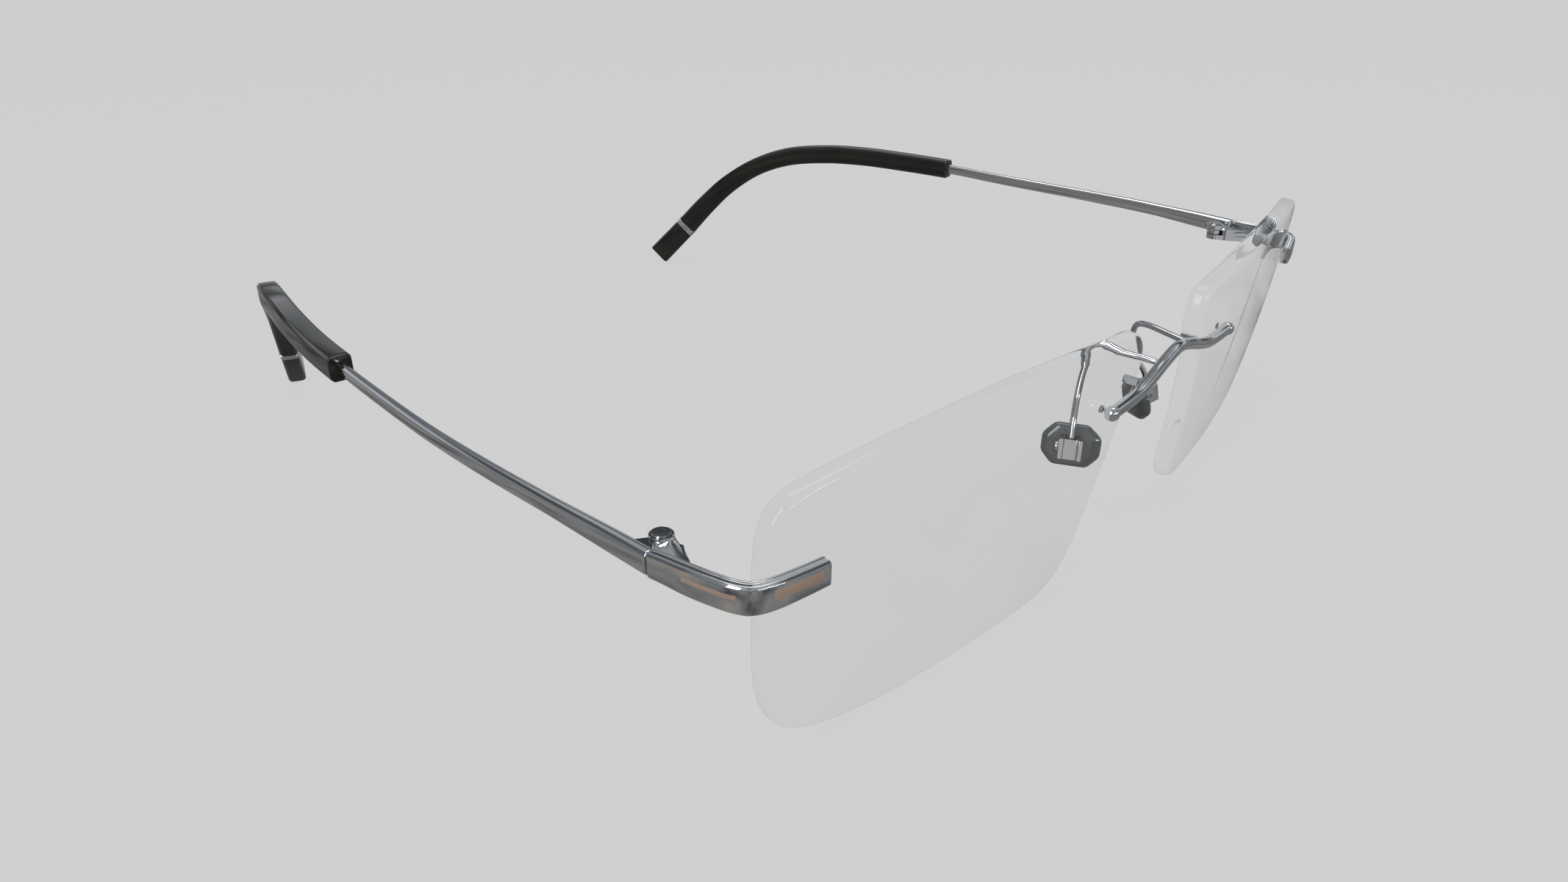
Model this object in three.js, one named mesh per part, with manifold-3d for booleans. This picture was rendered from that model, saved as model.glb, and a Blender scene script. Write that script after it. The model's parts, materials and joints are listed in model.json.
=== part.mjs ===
// Rimless eyeglasses: two thick clear lenses held by a wire bridge and two metal endpieces,
// folding temples with black sleeves, and rocking nose pads.
//
// Millimetres. The wearer looks along -Y, +Z is up and +X is the wearer's left.
// Every side piece is described once, for the wearer's left, and mirrored for the right.
// Side pieces are laid out in the hinge frame: its origin lies midway between the two
// hinges, level with the tops of their barrels. The last lines set the glasses down on
// the table plane z = 0, resting on the lower edges of the lenses and on the temple tips.
import * as THREE from "three";
import { mergeVertices } from "three/addons/utils/BufferGeometryUtils.js";
import Module from "manifold-3d";

const wasm = await Module();
wasm.setup();

// ---------------------------------------------------------------- driving dimensions
const DEG = Math.PI / 180;
const GAP = 0.05; // between pieces that touch on the real object

const LENS_CENTRE = [38.5, -17.45, -8];
const LENS_WRAP = 7.6 * DEG; // temporal side swept back
const LENS_TILT = 5.35 * DEG; // lower edge swept back
const LENS_BASE_RADIUS = 280;
const LENS_THICKNESS = 2.3; // at the middle
const LENS_HOLLOW = 0.0003; // thickness gained towards the rim, per mm squared
const LENS_EDGE_RADIUS = 0.9;
const LENS_HOLE_RADIUS = 0.9;
const LENS_HOLE_DEPTH = 1.6; // blind, from the front

const POST_RADIUS = 0.5;
const BUSH_INNER_RADIUS = 0.58;
const BUSH_OUTER_RADIUS = 0.84;
const POST_STAND_OFF = 0.05; // post and bush standing proud of the lens

const BRIDGE_RADIUS = 0.77;
const BRIDGE_BALL_RADIUS = 0.92;
const BRIDGE_HALF_LENGTH = 17.4;
const BRIDGE_Y = -21.4;
const BRIDGE_END_Z = 0.8;
const BRIDGE_CROWN_Z = 3.6;

const PAD_ARM_RADIUS = 0.4;
const PAD_CENTRE = [9.2, -13.1, -9.4];
const PAD_SPLAY = 25 * DEG; // back edges of the pads stand further apart
const PAD_FLARE = 15 * DEG; // lower edges of the pads stand further apart
const PAD_HALF_LENGTH = 4.3;
const PAD_HALF_HEIGHT = 3.3;
const PAD_HALF_THICKNESS = 0.95;
const PAD_AXIS_OFFSET = 2.1; // rocking axis, out from the middle of the pad
const PAD_LUG_THICKNESS = 1.1;
const PAD_LUG_RADIUS = 0.85;
const BOX_WIDTH = 2.9;
const BOX_HEIGHT = 2.6;
const BOX_DEPTH = 2.2;
const BOX_WALL = 0.75;
const PAD_SCREW_RADIUS = 0.35;

const HINGE_X = 68.2;
const HINGE_Y = -0.2;
const BARREL_TOP = 0;
const KNUCKLE_HEIGHT = 0.82;
const KNUCKLE_GAP = 0.06;
const BARREL_RADIUS = 1.25;
const HINGE_SCREW_RADIUS = 0.5;
const HINGE_BORE_RADIUS = 0.56;
const HINGE_SCREW_HEAD_RADIUS = 0.85;
const HINGE_SPLIT_Y = -1.95; // where the endpiece ends and the temple starts
const HINGE_SPLIT_GAP = 0.12;

const BAR_CHAMFER = 0.35;
const INLAY_DEPTH = 0.3;
const CORE_RADIUS = 0.55;
const CORE_BORE_RADIUS = 0.75;
const SLEEVE_START_Y = 57.5;
const SLEEVE_WIDTH = 3.0;
const RING_WIDTH = 1.3;
const END_LENGTH = 9.8;

const FLOOR_TILT = 1.7 * DEG; // brings the temple tips down to the lens edges' level

// ---------------------------------------------------------------- materials
function metal(name, color, roughness) {
  const made = new THREE.MeshStandardMaterial({ color, roughness, metalness: 1 });
  made.name = name;
  return made;
}

function plastic(name, color, roughness, opacity = 1) {
  const made = new THREE.MeshStandardMaterial({ color, roughness, metalness: 0 });
  made.name = name;
  made.opacity = opacity;
  made.transparent = opacity < 1;
  return made;
}

const CHROME = metal("chrome", 0x9a9c9f, 0.15);
const STEEL = metal("steel", 0x83868a, 0.25);
const SILVER = metal("silver", 0xc9cbcd, 0.2);
const BRONZE = plastic("bronze_enamel", 0xb98f6e, 0.35);
const LENS_CLEAR = plastic("lens_clear", 0xdfe4e6, 0.03, 0.3);
const BUSH_CLEAR = plastic("bush_clear", 0xe6e9ea, 0.2, 0.5);
const SLEEVE_BLACK = plastic("sleeve_black", 0x1a1a17, 0.2);
const PAD_GREY = plastic("pad_grey", 0x73777a, 0.25);

// ---------------------------------------------------------------- solids
function vec(x, y, z) {
  return new THREE.Vector3(x, y, z);
}

// A three.js geometry as a manifold solid, from its positions alone.
function solid(geometry) {
  const bare = geometry.clone();
  bare.deleteAttribute("normal");
  bare.deleteAttribute("uv");
  const merged = mergeVertices(bare, 1e-4);
  return new wasm.Manifold(
    new wasm.Mesh({
      numProp: 3,
      vertProperties: new Float32Array(merged.attributes.position.array),
      triVerts: new Uint32Array(merged.index.array),
    }),
  );
}

function geometryOf(manifold) {
  const { numProp, vertProperties, triVerts } = manifold.getMesh();
  const count = vertProperties.length / numProp;
  const positions = new Float32Array(count * 3);
  for (let i = 0; i < count; i++) {
    positions.set(vertProperties.subarray(i * numProp, i * numProp + 3), i * 3);
  }
  const made = new THREE.BufferGeometry();
  made.setAttribute("position", new THREE.BufferAttribute(positions, 3));
  made.setIndex(new THREE.BufferAttribute(new Uint32Array(triVerts), 1));
  made.computeVertexNormals();
  return made;
}

// Skins closed rings of points, one after the other, into one closed body.
// A first or last ring may be a single point; otherwise it is closed by a flat cap.
function skin(rings) {
  const positions = [];
  const starts = [];
  for (const ring of rings) {
    starts.push(positions.length / 3);
    for (const p of ring) positions.push(p.x, p.y, p.z);
  }
  const index = [];
  for (let r = 0; r + 1 < rings.length; r++) {
    const a = rings[r].length;
    const b = rings[r + 1].length;
    const n = Math.max(a, b);
    for (let i = 0; i < n; i++) {
      const j = (i + 1) % n;
      const [a0, a1] = [starts[r] + (i % a), starts[r] + (j % a)];
      const [b0, b1] = [starts[r + 1] + (i % b), starts[r + 1] + (j % b)];
      if (a > 1) index.push(a0, a1, b0);
      if (b > 1) index.push(a > 1 ? a1 : a0, b1, b0);
    }
  }
  const cap = (ring, start, flip) => {
    for (let i = 1; i + 1 < ring.length; i++) {
      const face = flip ? [start, start + i + 1, start + i] : [start, start + i, start + i + 1];
      index.push(...face);
    }
  };
  cap(rings[0], starts[0], true);
  cap(rings.at(-1), starts.at(-1), false);
  const made = new THREE.BufferGeometry();
  made.setAttribute("position", new THREE.Float32BufferAttribute(positions, 3));
  made.setIndex(index);
  made.computeVertexNormals();
  return made;
}

// Lofts a section along a stretch of a path, between the fractions `from` and `to` of its
// length. sectionAt(t) gives [side, top] pairs, anticlockwise seen from the path's end.
function loft(curve, steps, sectionAt, { from = 0, to = 1, up = vec(0, 0, 1) } = {}) {
  const rings = [];
  for (let i = 0; i <= steps; i++) {
    const t = from + ((to - from) * i) / steps;
    const at = curve.getPointAt(t);
    const along = curve.getTangentAt(t).normalize();
    const side = vec(0, 0, 0).crossVectors(up, along).normalize();
    const top = vec(0, 0, 0).crossVectors(along, side);
    rings.push(
      sectionAt(t).map(([s, u]) => at.clone().addScaledVector(side, s).addScaledVector(top, u)),
    );
  }
  return skin(rings);
}

function roundSection(radius, sides) {
  const points = [];
  for (let i = 0; i < sides; i++) {
    const a = ((i + 0.5) / sides) * 2 * Math.PI;
    points.push([radius * Math.cos(a), radius * Math.sin(a)]);
  }
  return points;
}

// A bar section with chamfered corners.
function barSection(width, height, chamfer) {
  const w = width / 2;
  const h = height / 2;
  const c = chamfer;
  return [
    [w, -h + c],
    [w, h - c],
    [w - c, h],
    [-w + c, h],
    [-w, h - c],
    [-w, -h + c],
    [-w + c, -h],
    [w - c, -h],
  ];
}

function curveThrough(points, tension = 0.5) {
  return new THREE.CatmullRomCurve3(points.map((p) => vec(...p)), false, "centripetal", tension);
}

// A wire of one radius along a path, with flat ends.
function wire(curve, radius, steps, sides, options) {
  return loft(curve, steps, () => roundSection(radius, sides), options);
}

// A round pin, disc or tube lying along +Y, from y = from to y = to.
function turned(profile, sides) {
  return new THREE.LatheGeometry(
    profile.map(([r, y]) => new THREE.Vector2(r, y)),
    sides,
  );
}

function rod(radius, from, to, sides = 20) {
  return turned([[0, from], [radius, from], [radius, to], [0, to]], sides);
}

// Mean of a table of [position, value] pairs at x, going straight between its rows.
function between(table, x) {
  if (x <= table[0][0]) return table[0][1];
  for (let i = 1; i < table.length; i++) {
    const [x0, v0] = table[i - 1];
    const [x1, v1] = table[i];
    if (x <= x1) return v0 + ((v1 - v0) * (x - x0)) / (x1 - x0);
  }
  return table.at(-1)[1];
}

// ---------------------------------------------------------------- one side of the glasses
// Each builder returns [name, geometry, material, place]. place, when given, is the group
// that carries the piece's own frame.
const pieces = [];

function add(name, geometry, material, place = null) {
  pieces.push({ name, geometry, material, place });
}

// ---- lens
// Lens frame: X towards the temple, Y towards the wearer, Z up, origin on the front face.
function lensPlace() {
  const place = new THREE.Group();
  place.position.set(...LENS_CENTRE);
  place.rotation.set(LENS_TILT, 0, LENS_WRAP, "ZXY");
  return place;
}

const LENS_OUTLINE = [
  [-28.3, 15.9], [-29.4, 14.6], [-29.8, 12.3], [-29.5, 10.3], [-28.7, 8.4], [-26.9, 4.0], [-25.7, -0.9],
  [-24.5, -5.9], [-23.2, -11.9], [-22.2, -14.3], [-20.6, -16.3], [-18.3, -17.5], [-15.5, -17.9],
  [-12.0, -17.9], [-6.0, -17.75], [3.0, -17.7], [11.7, -17.4], [19.4, -16.3], [23.6, -14.8], [25.7, -13.0],
  [27.0, -10.8], [27.9, -8.0], [28.5, -4.5], [29.0, 2.0], [29.2, 8.0], [29.0, 11.2], [28.3, 13.4],
  [26.9, 14.9], [25.0, 15.7], [21.3, 16.4], [14.0, 17.3], [2.6, 17.95], [-4.6, 18.0], [-14.0, 17.5],
  [-22.5, 16.6], [-26.5, 16.3],
];

function lensSag(x, z) {
  return (x * x + z * z) / (2 * LENS_BASE_RADIUS);
}

function lensBack(x, z) {
  const hollow = LENS_HOLLOW * (x * x + z * z);
  return lensSag(x, z) + LENS_THICKNESS + hollow;
}

function lensOutline(count) {
  const curve = new THREE.CatmullRomCurve3(
    LENS_OUTLINE.map(([x, z]) => vec(x, 0, z)),
    true,
    "centripetal",
  );
  return curve.getSpacedPoints(count).slice(0, count);
}

// Moves a closed outline inwards by a distance.
function inset(outline, distance) {
  const n = outline.length;
  return outline.map((p, i) => {
    const before = outline[(i + n - 1) % n];
    const after = outline[(i + 1) % n];
    const inward = vec(-(after.z - before.z), 0, after.x - before.x).normalize();
    return p.clone().addScaledVector(inward, distance);
  });
}

function lensGeometry() {
  const outline = lensOutline(96);
  const r = LENS_EDGE_RADIUS;
  const rings = [];
  const flat = inset(outline, r);
  const disc = (scale) => flat.map((p) => p.clone().multiplyScalar(scale));
  const onFront = (ring, depth) => ring.map((p) => vec(p.x, lensSag(p.x, p.z) + depth, p.z));
  const onBack = (ring, depth) => ring.map((p) => vec(p.x, lensBack(p.x, p.z) - depth, p.z));
  rings.push([vec(0, 0, 0)]);
  for (const scale of [0.3, 0.65, 1]) rings.push(onFront(disc(scale), 0));
  for (const a of [30, 60, 90]) {
    const ring = inset(outline, r - r * Math.sin(a * DEG));
    rings.push(onFront(ring, r - r * Math.cos(a * DEG)));
  }
  for (const a of [90, 60, 30]) {
    const ring = inset(outline, r - r * Math.sin(a * DEG));
    rings.push(onBack(ring, r - r * Math.cos(a * DEG)));
  }
  for (const scale of [1, 0.65, 0.3]) rings.push(onBack(disc(scale), 0));
  rings.push([vec(0, lensBack(0, 0), 0)]);
  return skin(rings.map((ring) => ring.slice().reverse()));
}

// Where the two posts enter the lens, in the lens frame.
const BRIDGE_POST_AT = [-21.4, 8.8];
const ENDPIECE_POST_AT = [25.0, 6.9];

function drilled(lens) {
  let made = solid(lens);
  for (const [x, z] of [BRIDGE_POST_AT, ENDPIECE_POST_AT]) {
    const drill = rod(LENS_HOLE_RADIUS, -3, lensSag(x, z) + LENS_HOLE_DEPTH, 20);
    made = made.subtract(solid(drill.translate(x, 0, z)));
  }
  return geometryOf(made);
}

// ---- post and bush: a pin cemented into a blind hole, the same at both ends of the lens
function fastening(prefix, [x, z]) {
  const start = lensSag(x, z) - POST_STAND_OFF;
  const end = lensSag(x, z) + LENS_HOLE_DEPTH - 2 * GAP;
  const place = (geometry) => geometry.translate(x, 0, z);
  const bush = [
    [BUSH_INNER_RADIUS, start],
    [BUSH_OUTER_RADIUS, start],
    [BUSH_OUTER_RADIUS, end],
    [BUSH_INNER_RADIUS, end],
    [BUSH_INNER_RADIUS, start],
  ];
  add(prefix + "_post", place(rod(POST_RADIUS, start, end, 16)), STEEL, lensPlace);
  add(prefix + "_bush", place(turned(bush, 20)), BUSH_CLEAR, lensPlace);
}

// ---- bridge
function bridgeCurve() {
  const half = [
    [BRIDGE_HALF_LENGTH, BRIDGE_END_Z],
    [13.6, BRIDGE_END_Z],
    [10.4, BRIDGE_END_Z + 0.2],
    [6.8, 1.9],
    [3.4, 2.95],
  ];
  const points = [];
  for (const [x, z] of half) points.push([-x, BRIDGE_Y, z]);
  points.push([0, BRIDGE_Y, BRIDGE_CROWN_Z]);
  for (const [x, z] of half.slice().reverse()) points.push([x, BRIDGE_Y, z]);
  return curveThrough(points);
}

function ball(x, y, z, radius) {
  return new THREE.SphereGeometry(radius, 16, 12).translate(x, y, z);
}

function bridgeGeometry() {
  let made = solid(wire(bridgeCurve(), BRIDGE_RADIUS, 36, 12));
  for (const side of [-1, 1]) {
    const end = ball(side * BRIDGE_HALF_LENGTH, BRIDGE_Y, BRIDGE_END_Z, BRIDGE_BALL_RADIUS);
    made = made.add(solid(end));
  }
  return geometryOf(made);
}

function block(width, depth, height, x, y, z) {
  return new THREE.BoxGeometry(width, depth, height).translate(x, y, z);
}

// ---- nose pad, its arm, box and screw
// Pad frame: X outwards from the nose, Y towards the wearer, Z up.
function padPlace() {
  const place = new THREE.Group();
  place.position.set(...PAD_CENTRE);
  place.rotation.set(0, -PAD_FLARE, -PAD_SPLAY, "ZYX");
  return place;
}

function padGeometry() {
  const count = 36;
  const outline = (scale) => {
    const points = [];
    for (let i = 0; i < count; i++) {
      const a = (i / count) * 2 * Math.PI;
      const c = Math.cos(a);
      const s = Math.sin(a);
      const y = Math.sign(c) * Math.abs(c) ** 0.8 * PAD_HALF_LENGTH * scale;
      const z = Math.sign(s) * Math.abs(s) ** 0.8 * PAD_HALF_HEIGHT * scale;
      points.push([y, z]);
    }
    return points;
  };
  const rings = [[vec(-PAD_HALF_THICKNESS, 0, 0)]];
  const steps = [[0.45, -0.96], [0.8, -0.72], [0.96, -0.3], [1, 0.05], [0.95, 0.5], [0.78, 0.82], [0.4, 0.92]];
  for (const [scale, across] of steps) {
    rings.push(outline(scale).map(([y, z]) => vec(across * PAD_HALF_THICKNESS, y, z)));
  }
  rings.push([vec(PAD_HALF_THICKNESS * 0.92, 0, 0)]);
  const lug = rod(PAD_LUG_RADIUS, -PAD_LUG_THICKNESS / 2, PAD_LUG_THICKNESS / 2, 16);
  lug.translate(PAD_AXIS_OFFSET, 0, 0);
  const neck = block(PAD_AXIS_OFFSET - 0.4, PAD_LUG_THICKNESS, 1.3, PAD_AXIS_OFFSET / 2 + 0.2, 0, 0);
  const bore = rod(PAD_SCREW_RADIUS + 0.06, -2, 2, 16).translate(PAD_AXIS_OFFSET, 0, 0);
  const made = solid(skin(rings)).add(solid(neck)).add(solid(lug)).subtract(solid(bore));
  return geometryOf(made);
}

function padBoxGeometry() {
  const outer = block(BOX_DEPTH, BOX_WIDTH, BOX_HEIGHT, PAD_AXIS_OFFSET + 0.3, 0, 0);
  const gap = BOX_WIDTH - 2 * BOX_WALL;
  const channel = block(BOX_DEPTH, gap, BOX_HEIGHT + 1, PAD_AXIS_OFFSET - 0.1, 0, 0);
  const bore = rod(PAD_SCREW_RADIUS + 0.05, -3, 3, 16).translate(PAD_AXIS_OFFSET, 0, 0);
  return geometryOf(solid(outer).subtract(solid(channel)).subtract(solid(bore)));
}

function padScrewGeometry() {
  const half = BOX_WIDTH / 2;
  const profile = [
    [0, -half - 0.1],
    [PAD_SCREW_RADIUS, -half - 0.1],
    [PAD_SCREW_RADIUS, half + GAP],
    [PAD_SCREW_RADIUS + 0.4, half + GAP],
    [PAD_SCREW_RADIUS + 0.35, half + 0.45],
    [0, half + 0.55],
  ];
  const slot = block(2, 0.3, 0.22, PAD_AXIS_OFFSET, half + 0.5, 0);
  const made = solid(turned(profile, 16).translate(PAD_AXIS_OFFSET, 0, 0)).subtract(solid(slot));
  return geometryOf(made);
}

function padArmCurve() {
  return curveThrough([
    [4.3, BRIDGE_Y + BRIDGE_RADIUS + GAP, 2.75],
    [4.8, -18.2, 2.95],
    [5.7, -14.6, 3.05],
    [6.3, -13.25, 2.5],
    [6.9, -12.6, 0.8],
    [8.2, -12.7, -2.6],
    [10.4, -13.6, -5.4],
    [11.35, -14.1, -7.35],
  ]);
}

// ---- endpiece
// The bar's middle line: along the front of the lens, round the corner, back to the hinge.
function endpieceCurve() {
  return curveThrough([
    [61.3, -14.85, -1.05],
    [64.2, -14.3, -1.05],
    [67.4, -13.5, -1.05],
    [69.1, -12.6, -1.05],
    [69.9, -11.2, -1.0],
    [70.35, -9.3, -1.0],
    [70.8, -6.4, -1.0],
    [71.05, -3.6, -1.0],
    [71.2, HINGE_SPLIT_Y - HINGE_SPLIT_GAP / 2, -1.05],
  ]);
}

const ENDPIECE_HEIGHT = [[0, 2.85], [0.35, 3.15], [0.75, 3.15], [1, 2.8]];
const ENDPIECE_WIDTH = [[0, 1.4], [1, 1.4]];

function endpieceSection(t) {
  return barSection(between(ENDPIECE_WIDTH, t), between(ENDPIECE_HEIGHT, t), BAR_CHAMFER);
}

// A strip let into the outer face of the bar, from `from` to `to` along it, between two
// depths below the bar's top. `grow` makes the pocket that the strip sits in.
function inlayStrip({ from, to, upper, lower, steps }, grow) {
  const inset = grow ? 0 : GAP;
  const section = (t) => {
    const face = -between(ENDPIECE_WIDTH, t) / 2;
    const top = between(ENDPIECE_HEIGHT, t) / 2;
    const [high, low] = [top - upper - inset, top - lower + inset];
    const outside = grow ? face - 0.5 : face + 0.06;
    const inside = face + INLAY_DEPTH - inset;
    return [[inside, low], [inside, high], [outside, high], [outside, low]];
  };
  const shrink = inset / 21;
  return loft(endpieceCurve(), steps, section, { from: from + shrink, to: to - shrink });
}

const FRONT_INLAY = { from: 0.05, to: 0.33, upper: 0.8, lower: 1.5, steps: 4 };
const SIDE_INLAY = { from: 0.49, to: 0.78, upper: 0.95, lower: 1.5, steps: 6 };

function zRod(radius, from, to, sides) {
  const made = rod(radius, from, to, sides);
  return made.rotateX(Math.PI / 2).translate(HINGE_X, HINGE_Y, 0);
}

// A flat plate with an outline in plan, between two heights.
function plate(outline, bottom, top) {
  const shape = new THREE.Shape(outline.map(([x, y]) => new THREE.Vector2(x, y)));
  const made = new THREE.ExtrudeGeometry(shape, { depth: top - bottom, bevelEnabled: false });
  return made.translate(0, 0, bottom);
}

// The heights between which each of the three knuckles lies, from the top one down.
function knuckleSpan(level) {
  const top = BARREL_TOP - level * (KNUCKLE_HEIGHT + KNUCKLE_GAP);
  return [top - KNUCKLE_HEIGHT, top];
}

const LUG_OUTLINE = [[67.1, -2.3], [67.5, -1.75], [69.3, -1.9], [69.5, -2.01], [70.9, -2.01], [70.4, -6.4]];
const LUG_ARM_OUTLINE = [[66.95, -0.2], [67.05, -2.2], [69.4, -2.0], [69.45, -0.2]];
const WEB_OUTLINE = [[68.2, -1.35], [70.9, -1.6], [70.9, 2.4], [70.2, 2.4], [68.2, 1.0]];

function endpieceGeometry() {
  let made = solid(loft(endpieceCurve(), 26, endpieceSection));
  const [bottom] = knuckleSpan(2);
  made = made.add(solid(plate(LUG_OUTLINE, bottom, BARREL_TOP)));
  for (const level of [0, 2]) {
    const [from, to] = knuckleSpan(level);
    made = made.add(solid(plate(LUG_ARM_OUTLINE, from, to)));
    made = made.add(solid(zRod(BARREL_RADIUS, from, to, 28)));
  }
  made = made.add(solid(block(1.8, 2.0, 1.2, 68.5, -11.0, -0.5)));
  made = made.subtract(solid(zRod(HINGE_BORE_RADIUS, -6, 6, 20)));
  for (const strip of [FRONT_INLAY, SIDE_INLAY]) {
    made = made.subtract(solid(inlayStrip(strip, true)));
  }
  return geometryOf(made);
}

function hingeScrewGeometry() {
  const [bottom] = knuckleSpan(2);
  const seat = BARREL_TOP + 0.03;
  const profile = [
    [0, bottom - 0.12],
    [HINGE_SCREW_RADIUS - 0.1, bottom - 0.12],
    [HINGE_SCREW_RADIUS, bottom],
    [HINGE_SCREW_RADIUS, seat],
    [HINGE_SCREW_HEAD_RADIUS, seat],
    [HINGE_SCREW_HEAD_RADIUS, seat + 0.18],
    [HINGE_SCREW_HEAD_RADIUS - 0.2, seat + 0.34],
    [0, seat + 0.38],
  ];
  const body = turned(profile, 20).rotateX(Math.PI / 2).translate(HINGE_X, HINGE_Y, 0);
  const slot = block(2.2, 0.26, 0.3, HINGE_X, HINGE_Y, seat + 0.38);
  return geometryOf(solid(body).subtract(solid(slot)));
}

// ---- temple
// One middle line runs from the hinge to the end of the sleeve, and every piece of the
// temple is a stretch of it.
const TEMPLE_CURVE = curveThrough([
  [71.2, HINGE_SPLIT_Y + HINGE_SPLIT_GAP / 2, -1.05],
  [71.35, 5, -0.8],
  [71.5, 14, -0.55],
  [71.4, 24, -0.52],
  [70.9, 35, -0.5],
  [70.0, 46, -0.35],
  [68.9, SLEEVE_START_Y, -0.05],
  [67.6, 67, 0],
  [65.6, 77, 0],
  [63.2, 86, -0.5],
  [60.3, 95, -2.0],
  [57.4, 102, -4.9],
  [54.5, 108.3, -9.5],
  [52.2, 113.2, -14.6],
  [49.9, 118.0, -20.4],
  [46.75, 124.5, -28.0],
]);
const TEMPLE_LENGTH = TEMPLE_CURVE.getLength();

// The fraction of the temple's length at which its middle line reaches a distance back.
function fractionAtY(y) {
  let low = 0;
  let high = 1;
  for (let i = 0; i < 40; i++) {
    const middle = (low + high) / 2;
    if (TEMPLE_CURVE.getPointAt(middle).y < y) low = middle;
    else high = middle;
  }
  return low;
}

const SLEEVE_START = fractionAtY(SLEEVE_START_Y);
const END_START = 1 - END_LENGTH / TEMPLE_LENGTH;
const RING_START = END_START - RING_WIDTH / TEMPLE_LENGTH;
const TOUCH = GAP / TEMPLE_LENGTH;
const CORE_END = 1 - 4 / TEMPLE_LENGTH;

const TEMPLE_HEIGHT = [[0, 2.75], [0.04, 2.6], [0.1, 2.15], [0.25, 2.0], [SLEEVE_START, 1.8]];
const TEMPLE_WIDTH = [[0, 1.4], [0.1, 1.25], [SLEEVE_START, 1.1]];
const SLEEVE_HEIGHT = [[SLEEVE_START, 3.5], [0.6, 3.6], [0.75, 3.7], [RING_START, 4.6], [1, 4.9]];

function templeSection(t) {
  return barSection(between(TEMPLE_WIDTH, t), between(TEMPLE_HEIGHT, t), BAR_CHAMFER);
}

function sleeveSection(t, grow = 0) {
  const height = between(SLEEVE_HEIGHT, t) + grow;
  return barSection(SLEEVE_WIDTH + grow, height, 0.8);
}

function sleeveBore(from, to, steps) {
  return solid(wire(TEMPLE_CURVE, CORE_BORE_RADIUS, steps, 8, { from, to }));
}

function templeGeometry() {
  const barEnd = SLEEVE_START - TOUCH;
  let made = solid(loft(TEMPLE_CURVE, 22, templeSection, { to: barEnd }));
  const [from, to] = knuckleSpan(1);
  made = made.add(solid(plate(WEB_OUTLINE, from, to)));
  made = made.add(solid(zRod(BARREL_RADIUS, from, to, 28)));
  made = made.subtract(solid(zRod(HINGE_BORE_RADIUS, -6, 6, 20)));
  const core = wire(TEMPLE_CURVE, CORE_RADIUS, 30, 8, { from: barEnd - 2 * TOUCH, to: CORE_END });
  return geometryOf(made.add(solid(core)));
}

function sleeveGeometry() {
  const outer = loft(TEMPLE_CURVE, 30, sleeveSection, { from: SLEEVE_START, to: RING_START });
  return geometryOf(solid(outer).subtract(sleeveBore(SLEEVE_START - 0.01, RING_START + 0.01, 32)));
}

function ringGeometry() {
  const span = { from: RING_START + TOUCH, to: END_START - TOUCH };
  const outer = loft(TEMPLE_CURVE, 1, (t) => sleeveSection(t, 0.16), span);
  return geometryOf(solid(outer).subtract(sleeveBore(RING_START - 0.01, END_START + 0.01, 4)));
}

function sleeveEndGeometry() {
  const outer = loft(TEMPLE_CURVE, 4, sleeveSection, { from: END_START });
  const bore = sleeveBore(END_START - 0.01, CORE_END + 0.5 / TEMPLE_LENGTH, 4);
  return geometryOf(solid(outer).subtract(bore));
}

// ---------------------------------------------------------------- assembly
add("lens", drilled(lensGeometry()), LENS_CLEAR, lensPlace);
fastening("bridge", BRIDGE_POST_AT);
add("bridge_tab", block(0.6, 2.15, 0.9, 8.8, -19.43, 1.5), CHROME);
add("pad_arm", wire(padArmCurve(), PAD_ARM_RADIUS, 26, 8, { up: vec(1, 0, 0.2) }), CHROME);
add("pad_box", padBoxGeometry(), CHROME, padPlace);
add("pad_screw", padScrewGeometry(), STEEL, padPlace);
add("nose_pad", padGeometry(), PAD_GREY, padPlace);
add("endpiece", endpieceGeometry(), CHROME);
add("endpiece_front_inlay", inlayStrip(FRONT_INLAY, false), BRONZE);
add("endpiece_side_inlay", inlayStrip(SIDE_INLAY, false), BRONZE);
fastening("endpiece", ENDPIECE_POST_AT);
add("hinge_screw", hingeScrewGeometry(), STEEL);
add("temple", templeGeometry(), CHROME);
add("temple_sleeve", sleeveGeometry(), SLEEVE_BLACK);
add("sleeve_ring", ringGeometry(), SILVER);
add("sleeve_end", sleeveEndGeometry(), SLEEVE_BLACK);

function sideOf(suffix, mirror) {
  const side = new THREE.Group();
  side.scale.x = mirror;
  for (const { name, geometry, material, place } of pieces) {
    const mesh = new THREE.Mesh(geometry, material);
    mesh.name = `${name}_${suffix}`;
    const holder = place ? place() : new THREE.Group();
    side.add(holder.add(mesh));
  }
  return side;
}

const glasses = new THREE.Group();
const bridge = new THREE.Mesh(bridgeGeometry(), CHROME);
bridge.name = "bridge";
glasses.add(bridge, sideOf("left", 1), sideOf("right", -1));

// Sets the glasses down level on the table, with the origin under the middle of their box.
const eyeglasses = new THREE.Group();
eyeglasses.add(glasses);
glasses.rotation.x = FLOOR_TILT;
glasses.updateMatrixWorld(true);
const bounds = new THREE.Box3().setFromObject(glasses, true);
glasses.position.y = -(bounds.min.y + bounds.max.y) / 2;
glasses.position.z = -bounds.min.z;

export default eyeglasses;
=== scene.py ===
import bpy
import json
import math
from mathutils import Matrix, Vector


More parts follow.
